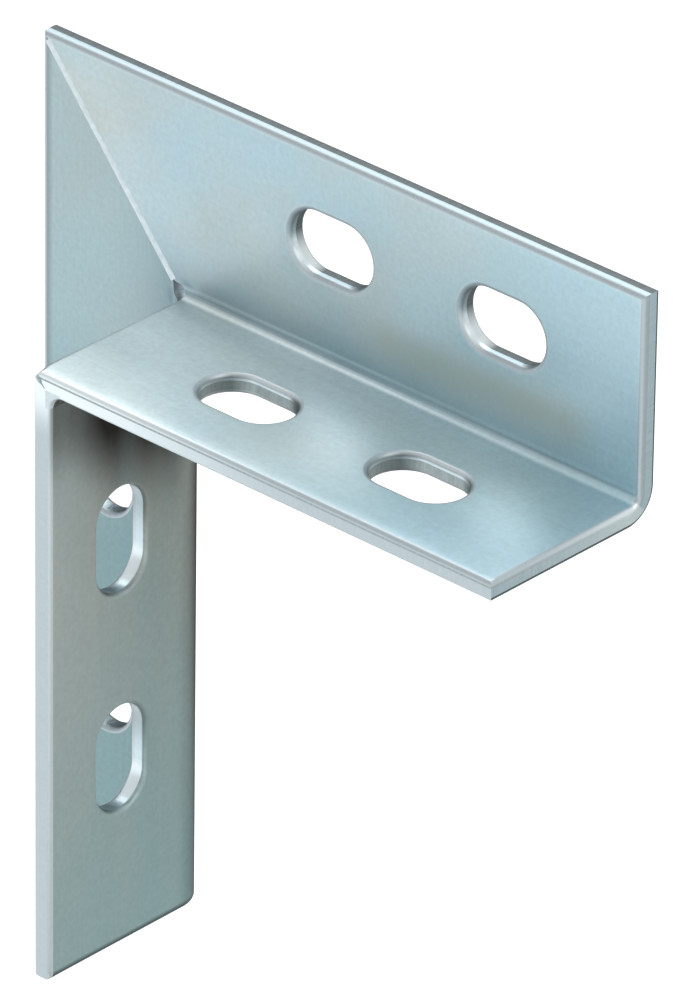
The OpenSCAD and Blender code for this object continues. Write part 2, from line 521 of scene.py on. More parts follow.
@dataclass(frozen=True)
class ArmTones:
    """Places and strengths of the marks on an arm's faces.

    A pair is the middle and the spread of a hump, or the start and the run of a ramp. Lengths are in millimetres: along
    the arm from its heel, up the flange and into the fold from where the fold begins, and on the leaf from where it
    ends.
    """

    # Depth in which a wall's marks go over from the inside face's to the outside face's
    turn: float = 0.6
    # Inside: painted shade in the pocket of the fold, less on a lighter line, its dark lines and the blotch at the
    # relief hole
    pocket_reach: float = 8.0
    pocket_end: float = 3.2
    pocket_fade: float = 0.6
    pocket_share: float = 0.66
    pocket_loss: float = 0.52
    pocket_power: float = 1.7
    swell: Pair = (45.0, 20.0)
    swell_share: float = 0.3
    unshaded_line: Pair = (0.9, 0.6)
    unshaded_share: float = 0.5
    dark_lines: tuple[Pair, Pair] = ((-0.5, 0.5), (2.4, 0.6))
    line_share: float = 0.9
    line_loss: float = 0.35
    blotch_along: Pair = (-3.0, 3.5)
    blotch_into: Pair = (0.0, 2.0)
    blotch_share: float = 0.9
    # Inside: painted light on the leaf by the weld and a painted highlight along the fold
    highlight_reach: float = 42.0
    highlight_leaf: Pair = (-9.0, 16.0)
    dim_leaf: Pair = (8.0, 14.0)
    dim_toe: float = 4.0
    dim_share: float = 0.36
    fold_highlight_reach: float = 16.0
    fold_highlight: float = 0.8
    # Inside: a band of painted shade above the fold
    band_shade: float = 0.53
    band_up: Pair = (7.5, 5.0)
    band_rim: float = 4.0
    band_from: Pair = (38.0, 14.0)
    band_to: Pair = (108.0, 10.0)
    # Outside: the painted shadow by the weld, painted shade round the outside of the fold and painted light by the toe
    shadow_reach: float = 28.0
    shadow_power: float = 4.0
    shadow_leaf: Pair = (-4.0, 8.0)
    wide_leaf: float = 16.0
    wider: float = 6.0
    front_leaf: Pair = (20.0, 14.0)
    front_shorter: float = 11.0
    front_loss: float = 0.35
    outer_fold_spread: float = 0.42
    outer_fold_share: float = 0.75
    toe_leaf: Pair = (8.0, 28.0)
    toe_light: float = 0.7


@dataclass(frozen=True)
class SlotTones:
    """Places and strengths of the painted shade and painted highlights on a slot's wall.

    An end's pair is the start and the run of a ramp in halves of the slot's length. A side's number is how fast the
    part grows, or where it ends, in halves of the slot's width.
    """

    rimmed_dark_end: Pair = (0.45, 0.4)
    rimmed_dark_side: float = 0.3
    pale_end: Pair = (0.35, 0.3)
    pale_side: float = 1.6
    dark_end: Pair = (0.6, 0.3)
    dark_side: float = 1.2
    first_end: Pair = (-0.2, 0.6)
    first_side: float = 1.5
    first_share: float = 0.5
    lit_end: Pair = (0.2, 0.3)


@dataclass
class FoldedArm:
    """One folded angle: a flange against the wall and a leaf out from it, mitred at its heel end.

    A point of the blank is (along the arm, across from the flange's toe, depth below the inside face).
    """

    node: str
    name: str
    place: ArmPlace
    heel: Vector
    length: float
    flange: float
    other_flange: float
    flange_slots: Pair
    leaf_slots: Pair
    slot_length: float
    pitch: float
    depth: float = 47.0
    plate_t: float = 4.5
    fold_r: float = 3.0
    slot_width: float = 14.0
    relief_r: float = 1.8
    relief_clear: float = 1.0
    dress_r: float = 1.5
    dress_run: float = 1.5
    weld_width: float = 1.6
    weld_depth: float = 1.2
    weld_fades: Pair = (0.6, 0.3)
    coined: float = 1.0
    seam_gap: float = 0.9
    gap_out: Pair = (3.5, 3.0)
    gap_up: Pair = (2.6, 1.2)
    back_seam: float = 0.3
    groove_depth: float = 0.6
    tones: ArmTones = ArmTones()
    slot_tones: SlotTones = SlotTones()
    edge: CutEdge = CutEdge()
    flange_toe: EdgeKind = EdgeKind.PUNCHED
    leaf_toe: EdgeKind = EdgeKind.SHEARED
    slot_cuts: tuple[EdgeKind, EdgeKind] = (EdgeKind.PUNCHED, EdgeKind.SHAVED)
    rimmed_slots: bool = True
    left_steps: int = 30
    slot_steps: int = 36
    right_steps: int = 8
    panel_steps: int = 28
    fold_steps: int = 18
    rings: int = 9
    ring_power: float = 1.6

    def __post_init__(self) -> None:
        """Works out the lengths of the blank's parts and the slots on it."""
        self.heel_r = self.fold_r + self.plate_t
        self.flange_run = self.flange - self.heel_r
        self.fold_run = math.pi / 2 * (self.fold_r + self.plate_t / 2)
        self.leaf_from = self.flange_run + self.fold_run
        self.width = self.leaf_from + self.depth - self.heel_r
        self.mitre_slope = (self.other_flange - self.plate_t) / (self.flange - self.plate_t)
        rows = ((self.flange_slots[0], self.flange - self.flange_slots[1]),
                (self.leaf_slots[0], self.leaf_from + self.leaf_slots[1] - self.heel_r))
        self.slots = [[Slot(first + i * self.pitch, across, self.slot_length, self.slot_width) for i in range(2)]
                      for first, across in rows]

    def fold(self, across: Array, depth: Array) -> tuple[Array, Array]:
        """Folds the blank: straight up the flange, round the fold, straight out along the leaf.

        The press draws the inside of the fold tighter than the outside: towards the inside the quarter turn's middle
        moves into the corner, and a short straight run joins it at both ends.

        Args:
            across: Distance across the blank from the flange's toe.
            depth: Depth below the inside face.

        Returns:
            Height up the flange from the heel, and distance out from the wall.
        """
        straight = self.coined * (1 - np.asarray(depth) / self.plate_t)
        middle = self.heel_r - straight
        radius = middle - self.plate_t + depth
        bend = radius * math.pi / 2
        run = np.clip((across - self.flange_run) / self.fold_run, 0, 1) * (2 * straight + bend)
        turn = np.clip((run - straight) / radius, 0, math.pi / 2)
        before, after = np.clip(straight - run, 0, None), np.clip(run - straight - bend, 0, None)
        height = middle - radius * np.sin(turn) + before + np.clip(self.flange_run - across, 0, None)
        out = middle - radius * np.cos(turn) + after + np.clip(across - self.leaf_from, 0, None)
        return height, out

    def heel_end(self, across: Array, depth: Array) -> Array:
        """Gives where the arm ends at its heel.

        Along the leaf's thickness the end runs at 45 degrees and above that along the mitre. It is pushed back by the
        weld's bevel, by the round relief hole at the inside corner and by the dressed outside edge of the corner. At
        the front end of that edge the seam stays open by a small wedge, and on the back it shows as a shallow groove.

        Args:
            across: Distance across the blank from the flange's toe.
            depth: Depth below the inside face.

        Returns:
            The end's place along the arm.
        """
        height, out = self.fold(across, depth)
        above = np.clip(height - self.plate_t, 0, None)
        end = -np.minimum(height, self.plate_t) - above * self.mitre_slope
        stretch = math.hypot(1, self.mitre_slope)
        run, full = above * stretch, (self.flange - self.plate_t) * stretch
        welded = ramp(run, 2 * self.relief_r, self.weld_fades[0])
        welded *= ramp(full - run, 2 * self.edge.roll_r, self.weld_fades[1])
        bevel = self.weld_width / 2 * stretch * np.clip(1 - depth / self.weld_depth, 0, 1) * welded
        hole_up = self.plate_t + self.relief_r / 2 / stretch
        hole_at = -self.plate_t - self.relief_r / 2 * self.mitre_slope / stretch
        half = np.sqrt(np.clip(self.relief_r ** 2 - (height - hole_up) ** 2, 0, None))
        hole = np.where((half > 0) & (out < self.heel_r + self.relief_clear), hole_at + half, -np.inf)
        dress = self.dress_r * ramp(out, self.heel_r - self.dress_run, self.dress_run)
        drop = np.clip(height - self.plate_t + dress, 0, dress)
        dressed = -self.plate_t + dress - np.sqrt(dress ** 2 - drop ** 2)
        wedge = ramp(out - self.depth, -self.gap_out[0], self.gap_out[1])
        wedge *= ramp(height - self.plate_t, -self.gap_up[0], self.gap_up[1])
        groove = ramp(depth - self.plate_t, -self.groove_depth, self.groove_depth) * (above > 0)
        gap = self.seam_gap * wedge + self.back_seam * groove
        return np.maximum.reduce([end + bevel, hole, np.where(dress * drop > 0, dressed, -np.inf)]) + gap

    def rows(self, offset: Array | float) -> Array:
        """Returns places across the blank, drawn in by an offset at both toes: flange, fold, then leaf."""
        start, stop = np.asarray(offset, float), self.width - np.asarray(offset, float)
        flange = np.linspace(start, self.flange_run, self.panel_steps + 1)
        bend = np.linspace(self.flange_run, self.leaf_from, self.fold_steps + 1)
        bend = np.broadcast_to(bend.reshape(-1, *[1] * start.ndim), (self.fold_steps + 1, *start.shape))
        leaf = np.linspace(self.leaf_from, stop, self.panel_steps + 1)
        return np.concatenate([flange[:-1], bend[:-1], leaf])

    def columns(self, across: Array, depth: Array, offset: Array | float) -> Array:
        """Gives places along the arm for points across the blank.

        The stations run from the heel end to the first slot's field, over two slot fields and on to the far end. In the
        fold they pass evenly from the flange's fields to the leaf's.

        Args:
            across: Distance across the blank from the flange's toe.
            depth: Depth below the inside face.
            offset: How far the far end is drawn in.

        Returns:
            Places along the arm, with the stations on the first axis.
        """
        share = np.clip((across - self.flange_run) / self.fold_run, 0, 1)
        first = (1 - share) * self.slots[0][0].along + share * self.slots[1][0].along - self.pitch / 2
        start, stop = self.heel_end(across, depth), self.length - offset
        shape = (-1, *[1] * np.ndim(first))
        left = np.linspace(0, 1, self.left_steps + 1)[:-1].reshape(shape)
        middle = np.linspace(0, 1, 2 * self.slot_steps + 1)[:-1].reshape(shape)
        right = np.linspace(0, 1, self.right_steps + 1).reshape(shape)
        last = first + 2 * self.pitch
        return np.concatenate([start + left * (first - start), first + middle * (last - first),
                               last + right * (stop - last)])

    def marks(self, along: Array, across: Array, inside: bool) -> Array:
        """Gives the marks of points on a face.

        The rim is the distance to the nearest cut edge that takes the rim colour: inside both toes, the far end and, on
        an arm whose slots count as rims, the slots; outside the flange's toe and the far end.

        Args:
            along: Places along the arm.
            across: Distances across the blank from the flange's toe.
            inside: Whether the face is the inside one.

        Returns:
            Rim, pocket shade, painted shade and painted light on the last axis.
        """
        gaps = [across, self.length - along]
        if inside:
            gaps += [self.width - across]
            gaps += [slot.distance(along, across) for row in self.slots for slot in row if self.rimmed_slots]
        rim = np.minimum.reduce(gaps)
        return self.inside_marks(along, across, rim) if inside else self.outside_marks(along, across, rim)

    def inside_marks(self, along: Array, across: Array, rim: Array) -> Array:
        """Gives the marks of points on the inside face.

        The pocket's painted shade is full round the first part of the fold but for a lighter line, has a dark line of
        painted shade on each side, and fades up the flange and towards the far end; the relief hole has a dark blotch
        of painted shade. Painted light lies on the leaf by the weld, dimmer in front but not at the toe, and a painted
        highlight lies along the fold. A band of painted shade lies above the fold.

        Args:
            along: Places along the arm.
            across: Distances across the blank from the flange's toe.
            rim: Distances to the nearest worn edge.

        Returns:
            Rim, pocket shade, painted shade above the fold and painted light on the last axis.
        """
        tones = self.tones
        run = np.clip(along, 0, None)
        share = np.clip(run / self.length, 0, 1)
        into, leaf = across - self.flange_run, across - self.leaf_from
        up = np.clip(-into, 0, None)
        # Painted shade in the pocket of the fold, less on a lighter line.
        pocket = np.exp(-up / tones.pocket_reach - np.clip(into - tones.pocket_end, 0, None) / tones.pocket_fade)
        pocket *= 1 - tones.unshaded_share * hump(into, *tones.unshaded_line)
        pocket *= (tones.pocket_share - tones.pocket_loss * share ** tones.pocket_power
                   + tones.swell_share * hump(run, *tones.swell))
        # Dark lines of painted shade beside the fold, and a blotch of painted shade at the relief hole.
        lines = sum(hump(into, *line) for line in tones.dark_lines)
        lines *= tones.line_share * (1 - tones.line_loss * share)
        blotch = tones.blotch_share * hump(along, *tones.blotch_along) * hump(into, *tones.blotch_into)
        # Painted light on the leaf by the weld, and a painted highlight along the fold.
        pale_and_highlight = hump(run, 0.0, tones.highlight_reach) * ramp(leaf, *tones.highlight_leaf)
        pale_and_highlight *= 1 - tones.dim_share * ramp(leaf, *tones.dim_leaf) * ramp(self.width - across, 0.0, tones.dim_toe)
        by_fold = np.exp(-np.abs(leaf) / tones.fold_highlight_reach) * (leaf > -self.fold_run / 2)
        # A band of painted shade above the fold, faded at the rims and at both ends.
        band_shade = tones.band_shade * hump(up, *tones.band_up) * (into < 0) * ramp(rim, 0.0, tones.band_rim)
        band_shade *= ramp(run, *tones.band_from) * ramp(tones.band_to[0] - run, 0.0, tones.band_to[1])
        return np.stack([rim, np.maximum.reduce([pocket, lines, blotch]), band_shade,
                         np.maximum(pale_and_highlight, tones.fold_highlight * by_fold)], -1)

    def outside_marks(self, along: Array, across: Array, rim: Array) -> Array:
        """Gives the marks of points on the outside face.

        A painted shadow fades along the leaf from the weld, later by the fold and sooner and weaker by the toe. Painted
        shade lies round the outside of the fold, and painted light grows towards the leaf's toe.

        Args:
            along: Places along the arm.
            across: Distances across the blank from the flange's toe.
            rim: Distances to the nearest worn edge.

        Returns:
            Rim, no pocket shade, painted shade and painted light on the last axis.
        """
        tones = self.tones
        run = np.clip(along, 0, None)
        leaf = across - self.leaf_from
        front = ramp(leaf, *tones.front_leaf)
        wide = ramp(tones.wide_leaf - leaf, 0.0, tones.wide_leaf)
        # Painted shadow that fades along the leaf from the weld.
        reach = tones.shadow_reach + tones.wider * wide - tones.front_shorter * front
        painted_shadow = np.exp(-(run / reach) ** tones.shadow_power) * ramp(leaf, *tones.shadow_leaf)
        painted_shadow *= 1 - tones.front_loss * front
        # Painted shade round the outside of the fold, and painted light towards the leaf's toe.
        outer_fold_shade = hump(across - self.flange_run, self.fold_run / 2, tones.outer_fold_spread * self.fold_run)
        return np.stack([rim, np.zeros_like(rim), np.maximum(painted_shadow, tones.outer_fold_share * outer_fold_shade),
                         tones.toe_light * ramp(leaf, *tones.toe_leaf)], -1)

    def put(self, along: Array, across: Array, depth: Array) -> Array:
        """Returns points of the blank in metres in the bracket's frame, once folded."""
        height, out = self.fold(across, depth)
        return np.array(self.heel) + metres(along, height, out) @ np.array(self.place.value, float)

    def face(self, mesh: GridMesh, depth: float, offset: float) -> None:
        """Adds the inside or the outside face, as plain grids and as rings round the slots.

        Args:
            mesh: Takes the grids.
            depth: Depth of the face below the inside face.
            offset: How far the face is drawn in from every cut edge.
        """
        across = self.rows(offset)
        along = self.columns(across, np.full_like(across, depth), offset)
        across = np.broadcast_to(across, along.shape)
        first, bend = self.left_steps, self.panel_steps
        after, leaf = first + 2 * self.slot_steps, self.panel_steps + self.fold_steps
        self.patch(mesh, along[:first + 1], across[:first + 1], depth)
        self.patch(mesh, along[after:], across[after:], depth)
        self.patch(mesh, along[first:after + 1, bend:leaf + 1], across[first:after + 1, bend:leaf + 1], depth)
        share = np.linspace(0, 1, self.rings + 1)[:, None, None] ** self.ring_power
        for row, rows in zip(self.slots, (slice(0, bend + 1), slice(leaf, None))):
            for i, slot in enumerate(row):
                stations = slice(first + i * self.slot_steps, first + (i + 1) * self.slot_steps + 1)
                block = np.stack([along[stations, rows], across[stations, rows]], -1)
                outer = np.concatenate([block[:-1, 0], block[-1, :-1], block[:0:-1, -1], block[0, ::-1]])
                inner = slot.contour(offset, *slot.loop(self.slot_steps, self.panel_steps))
                rings = inner + share * (outer - inner)
                self.patch(mesh, rings[..., 0], rings[..., 1], depth)

    def patch(self, mesh: GridMesh, along: Array, across: Array, depth: float) -> None:
        """Adds one grid of a face to the mesh, charted by its place on the blank."""
        deep = np.full_like(along, depth)
        inside = depth == 0.0
        mesh.grid(self.put(along, across, deep), metres(along, across), self.marks(along, across, inside),
                  Zone.SHEET if inside else Zone.BACK)

    def edges(self, mesh: GridMesh) -> None:
        """Adds the cut walls of the toes, the far end, the mitre and the slots, band by band of their section."""
        for band, (offset, depth) in enumerate(self.edge.bands()):
            across = self.rows(offset)
            ends = self.columns(across[[0, -1]], np.broadcast_to(depth, (2, len(depth))), offset)
            for toe, kind in enumerate((self.flange_toe, self.leaf_toe)):
                rim = np.broadcast_to(across[-toe], ends[:, toe].shape)
                self.wall(mesh, ends[:, toe], rim, depth, kind.value[band])
            cut = EdgeKind.TUMBLED.value[band]
            self.wall(mesh, np.broadcast_to(self.length - offset, across.shape), across, depth, cut)
            self.wall(mesh, self.heel_end(across, np.broadcast_to(depth, across.shape)), across, depth, cut)
            for slot, kind in ((slot, kind) for row, kind in zip(self.slots, self.slot_cuts) for slot in row):
                core, way = slot.loop(self.slot_steps, self.panel_steps)
                loops = np.stack([slot.contour(level, core, way) for level in offset], 1)
                # Painted shade and painted highlights on the slot's wall.
                painted_shade_and_light = self.slot_shade_and_light(slot, loops, kind)
                self.wall(mesh, loops[..., 0], loops[..., 1], depth, kind.value[band], painted_shade_and_light)

    def slot_shade_and_light(self, slot: Slot, loops: Array, kind: EdgeKind) -> Array:
        """Gives the painted shade and painted highlights of a slot's wall.

        On an arm whose slots count as rims, a slot has painted shade at its ends towards the flange's toe, and a
        punched one a painted highlight low at its first end. On another arm a slot has a painted highlight at its
        second end towards the flange's toe, and painted shade on that end's other side and on the first part of its
        wall.

        Args:
            slot: The slot.
            loops: Places along and across the blank on the last axis.
            kind: How the slot was cut.

        Returns:
            Shares of painted shade and of painted highlight on the last axis.
        """
        way = (loops[..., 0] - slot.along) / (slot.length / 2)
        low = (loops[..., 1] - slot.across) / (slot.width / 2)
        tones = self.slot_tones
        # Painted shade at the slot's ends and painted highlights beside them.
        if self.rimmed_slots:
            dark = ramp(np.abs(way), *tones.rimmed_dark_end) * np.clip(tones.rimmed_dark_side - low, 0, 1)
            pale = ramp(-way, *tones.pale_end) * np.clip(tones.pale_side * low, 0, 1) * (kind is EdgeKind.PUNCHED)
        else:
            dark = ramp(way, *tones.dark_end) * np.clip(tones.dark_side * low, 0, 1)
            dark += tones.first_share * ramp(-way, *tones.first_end) * np.clip(-tones.first_side * low, 0, 1)
            pale = ramp(way, *tones.lit_end) * np.clip(-tones.pale_side * low, 0, 1)
        return np.stack([dark, pale], -1)

    def wall(self, mesh: GridMesh, along: Array, across: Array, depth: Array, zone: Zone,
             painted_shade_and_light: Array | None = None) -> None:
        """Adds a strip of cut wall, charted by its run along the cut and its depth, or like the back that it joins.

        The marks go over from the inside face's to the outside face's in the last part of the depth, and a slot's
        painted shade and highlights come in between the faces.

        Args:
            mesh: Takes the strip.
            along: Places along the arm, with the run along the cut on the first axis.
            across: Distances across the blank from the flange's toe.
            depth: Depths below the inside face.
            zone: The part of the skin that the strip belongs to.
            painted_shade_and_light: Shares of painted shade and of painted highlight on a slot's wall.
        """
        steps = np.hypot(np.diff(along[:, 0]), np.diff(across[:, 0]))
        run = np.concatenate([[0.0], np.cumsum(steps)])[:, None]
        deep = np.broadcast_to(depth, along.shape)
        chart = metres(along, across) if zone is Zone.BACK else metres(run, deep)
        turn = self.tones.turn
        outer = ramp(deep - self.plate_t, -turn, turn)[..., None]
        marks = (1 - outer) * self.marks(along, across, True) + outer * self.marks(along, across, False)
        # A slot's painted shade and highlights, between the faces.
        if painted_shade_and_light is not None:
            between = ramp(np.minimum(deep, self.plate_t - deep), 0.0, turn)[..., None]
            marks[..., 2:] = np.maximum(marks[..., 2:], between * painted_shade_and_light)
        mesh.grid(self.put(along, across, deep), chart, marks, zone)

    def build(self, materials: list[Material]) -> bpy.types.Object:
        """Builds the arm, dresses it and lets it stand for its CAD node.

        Args:
            materials: The finishes of the zones, in their order.

        Returns:
            The finished piece.
        """
        mesh = GridMesh()
        self.face(mesh, 0.0, self.edge.roll_r)
        self.face(mesh, self.plate_t, self.edge.outer_r)
        self.edges(mesh)
        piece = mesh.object(self.name, materials, ARM_CREASE_DEG)
        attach(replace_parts(piece, self.node), BODY)
        return piece


@dataclass
class MitreBead:
    """Weld along the mitre: a groove filled with metal that stands proud in a low rippled crown."""

    heel: Vector
    flange: float = 50.0
    side: float = 43.0
    plate_t: float = 4.5
    width: float = 1.6
    root: float = 1.2
    crown: float = 0.16
    start: float = 3.6
    stop_short: float = 2.0
    end_fade: float = 1.5
    ripple_pitch: float = 0.9
    ripple: float = 0.03
    ripple_bow: float = 0.45
    steps: int = 220
    across_steps: int = 10

    def build(self, material: Material) -> bpy.types.Object:
        """Builds the bead as a profile carried along the mitre.

        The crown's height falls as the square of the distance from its middle and fades at both ends. Ripples follow
        the sine of the run less a share of that square, so that they bow along the weld.

        Args:
            material: The weld's finish.

        Returns:
            The finished piece.
        """
        run_x, run_z = self.plate_t - self.side, self.flange - self.plate_t
        mitre = math.hypot(run_x, run_z)
        run = np.linspace(self.start, mitre - self.stop_short, self.steps + 1)[:, None]
        share = np.linspace(-1, 1, self.across_steps + 1)[None]
        fade = ramp(np.minimum(run - run[0], run[-1] - run), 0.0, self.end_fade)
        ripple = 1 + self.ripple * np.sin(2 * math.pi * (run / self.ripple_pitch - self.ripple_bow * share ** 2))
        top = self.crown * (1 - share ** 2) * fade * ripple
        root = -self.root * (1 - np.abs(share)) + 0 * run
        mesh = GridMesh()
        for lift in (top, root):
            mesh.grid(self.put(run, share, lift), metres(run, share), PLAIN)
        for end in (0, -1):
            lift = np.stack([top[end], root[end]])
            mesh.grid(self.put(run[[end, end]], share, lift), np.zeros((1, 1, 2)), PLAIN)
        piece = mesh.object("mitre_bead", [material], WELD_CREASE_DEG)
        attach(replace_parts(piece, "mitre_weld"), BODY)
        return piece

    def put(self, run: Array, share: Array, lift: Array) -> Array:
        """Returns points in metres from the run along the mitre, the share of half the width and the lift."""
        run_x, run_z = self.plate_t - self.side, self.flange - self.plate_t
        along = np.array([run_x, run_z]) / math.hypot(run_x, run_z)
        side = share * self.width / 2
        x = -self.plate_t + run * along[0] - side * along[1]
        z = self.plate_t + run * along[1] + side * along[0]
        y = -self.plate_t - lift
        return np.array(self.heel) + metres(x, y, z)


@dataclass
class CornerBead:
    """Fillet weld in the inside corner under the shelf, hollow and lightly rippled."""

    heel: Vector
    reach: float = 3.0
    depth: float = 47.0
    fold_outside: float = 7.5
    ripple_pitch: float = 1.3
    ripple: float = 0.07
    ripple_bow: float = 0.25
    edge_r: float = 1.1
    least_turn: float = 1e-3
    steps: int = 150
    arc_steps: int = 10
    end_steps: int = 6

    def build(self, plated: Material, shaded: Material) -> bpy.types.Object:
        """Builds the bead as a hollow quarter round carried along the corner.

        The hollow is a quarter circle about the point that is one reach from both plates. Its radius swells with the
        sine of the run, less so towards the plates, so that the toes stay on them. At the front it grows by the quarter
        turn of the plates' rounded edges, so that those run on round the corner.

        Args:
            plated: The finish of the front end.
            shaded: The finish of the rest, near-black as painted shadow under the shelf.

        Returns:
            The finished piece.
        """
        rounding = np.linspace(0, math.pi / 2, self.end_steps + 1)[1:]
        run = np.concatenate([np.linspace(self.fold_outside, self.depth - self.edge_r, self.steps + 1),
                              self.depth - self.edge_r + self.edge_r * np.sin(rounding)])[:, None]
        grow = np.concatenate([np.zeros(self.steps + 1), self.edge_r * (1 - np.cos(rounding))])[:, None]
        turn = np.linspace(0, math.pi / 2, self.arc_steps + 1)[None]
        wave = np.sin(2 * math.pi * (run / self.ripple_pitch + self.ripple_bow * np.sin(2 * turn)))
        swell = self.ripple * np.sin(2 * turn) ** 2 * (1 + wave) / 2 * (1 - grow / self.edge_r)
        radius = self.reach * (1 - swell) + grow
        x, z = self.reach - radius * np.sin(turn), -self.reach + radius * np.cos(turn)
        across, up = np.minimum(np.tan(turn), 1), np.minimum(1 / np.tan(np.maximum(turn, self.least_turn)), 1)
        x_flat = self.reach - (self.reach + grow) * across
        z_flat = -self.reach + (self.reach + grow) * up
        mesh = GridMesh()
        chart = metres(run, turn)
        for part, zone in ((slice(0, self.steps + 1), Zone.BACK), (slice(self.steps, None), Zone.SHEET)):
            for across, up in ((x, z), (x_flat, z_flat)):
                mesh.grid(self.put(across[part], run[part], up[part]), chart[part], PLAIN, zone)
        for end in (0, -1):
            across, up = np.stack([x[end], x_flat[end]]), np.stack([z[end], z_flat[end]])
            mesh.grid(self.put(across, run[[end, end]], up), np.zeros((1, 1, 2)), PLAIN)
        piece = mesh.object("corner_bead", [plated, shaded], WELD_CREASE_DEG)
        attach(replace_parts(piece, "corner_weld"), BODY)
        return piece

    def put(self, across: Array, out: Array, up: Array) -> Array:
        """Returns points in metres from their places across, out from the wall and up from the corner."""
        return np.array(self.heel) + metres(across, -out, up)


@dataclass(frozen=True)
class SkyPatch:
    """A soft round patch of the surroundings that is brighter than the rest."""

    towards: Xyz
    full_deg: float
    fade_deg: float
    strength: float

    def value(self, graph: Graph, direction: Socket) -> Socket:
        """Returns the patch's share of the light: full within one angle of its middle, none beyond the other."""
        middle = Vector(self.towards).normalized()
        turn = graph.add("ShaderNodeVectorMath", {0: direction, 1: middle}, operation="DOT_PRODUCT").outputs["Value"]
        edge, core = math.cos(math.radians(self.fade_deg)), math.cos(math.radians(self.full_deg))
        share = graph.add("ShaderNodeMapRange", {"Value": turn, "From Min": edge, "From Max": core},
                          interpolation_type="SMOOTHSTEP").outputs["Result"]
        return graph.math("MULTIPLY", share, self.strength)


@dataclass(frozen=True)
class GreyCard:
    """A grey card that only shows mirrored in the metal; its middle, width and height are in metres."""

    name: str
    middle: Xyz
    facing: Xyz
    size: Pair
    colour: Rgb

    def build(self) -> None:
        """Adds the card to the stage, unseen by the camera and without a shadow."""
        turn = Vector(self.facing).to_track_quat("Z", "Y").to_matrix()
        sides = [np.array([-0.5, 0.5]) * side for side in self.size]
        across, up = np.meshgrid(*sides, indexing="ij")
        flat = np.stack([across, up, np.zeros_like(across)], -1)
        mesh = GridMesh()
        mesh.grid(np.array(self.middle) + flat @ np.array(turn).T, flat[..., :2], PLAIN)
        material, graph = new_material(self.name)
        paint = graph.add("ShaderNodeBsdfDiffuse", {"Color": rgba(self.colour)})
        graph.add("ShaderNodeOutputMaterial", {"Surface": paint.outputs[0]})
        card = mesh.object(self.name, [material], STAGE_CREASE_DEG)
        card.visible_camera = False
        card.visible_diffuse = False
        card.visible_shadow = False
        card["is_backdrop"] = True


@dataclass
class Studio:
    """Pale floor, soft surroundings with brighter patches, and grey cards that the metal mirrors."""

    low: Vector
    floor_drop: float = 0.14
    floor_half: float = 30.0
    floor_colour: Rgb = (0.86, 0.87, 0.88)
    floor_glow: float = 0.3
    sky_colour: Rgb = (1.0, 1.0, 1.0)
    sky_level: float = 0.8
    sky: tuple[SkyPatch, ...] = (
        SkyPatch((-0.46, 0.42, 0.78), full_deg=10.0, fade_deg=32.0, strength=1.8),
        SkyPatch((0.75, 0.05, 0.66), full_deg=10.0, fade_deg=32.0, strength=1.5),
    )
    cards: tuple[GreyCard, ...] = (
        GreyCard("table_card", middle=(0.42, 0.42, -0.255), facing=(0.0, 0.0, 1.0), size=(0.95, 1.2),
                 colour=(0.52, 0.53, 0.51)),
        GreyCard("back_card", middle=(-0.173, 0.163, -0.10), facing=(0.676, -0.737, 0.0), size=(0.50, 0.40),
                 colour=(0.05, 0.055, 0.06)),
    )

    def build(self) -> None:
        """Builds the floor, the surroundings and the cards."""
        self.floor()
        self.surroundings()
        for card in self.cards:
            card.build()

    def floor(self) -> None:
        """Adds the floor: pale, and just white to the camera and in the metal where no shadow falls."""
        half = np.linspace(-self.floor_half, self.floor_half, 3)
        x, y = np.meshgrid(half, half, indexing="ij")
        mesh = GridMesh()
        mesh.grid(np.stack([x, y, np.full_like(x, self.low.z - self.floor_drop)], -1), np.stack([x, y], -1), PLAIN)
        material, graph = new_material("studio_floor")
        paint = graph.add("ShaderNodeBsdfDiffuse", {"Color": rgba(self.floor_colour)})
        glow = graph.add("ShaderNodeEmission", {"Strength": graph.math("MULTIPLY", self.seen(graph), self.floor_glow)})
        both = graph.add("ShaderNodeAddShader", {0: paint.outputs[0], 1: glow.outputs[0]})
        graph.add("ShaderNodeOutputMaterial", {"Surface": both.outputs[0]})
        mesh.object("studio_floor", [material], STAGE_CREASE_DEG)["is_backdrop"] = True

    @staticmethod
    def seen(graph: Graph) -> Socket:
        """Returns 1 for the rays that show the background: those of the camera, of gloss and through glass."""
        path = graph.add("ShaderNodeLightPath").outputs
        shown = graph.math("MAXIMUM", path["Is Camera Ray"], path["Is Glossy Ray"])
        return graph.math("MAXIMUM", shown, path["Is Transmission Ray"])

    def surroundings(self) -> None:
        """Sets the world: an even level with soft patches added to it by direction."""
        world = bpy.data.worlds.new("soft_surroundings")
        world.use_nodes = True
        graph = Graph(world.node_tree)
        direction = graph.add("ShaderNodeTexCoord").outputs["Generated"]
        level: object = self.sky_level
        for patch in self.sky:
            level = graph.math("ADD", patch.value(graph, direction), level)
        sky = graph.add("ShaderNodeBackground", {"Color": rgba(self.sky_colour), "Strength": level})
        graph.add("ShaderNodeOutputWorld", {"Surface": sky.outputs[0]})
        bpy.context.scene.world = world


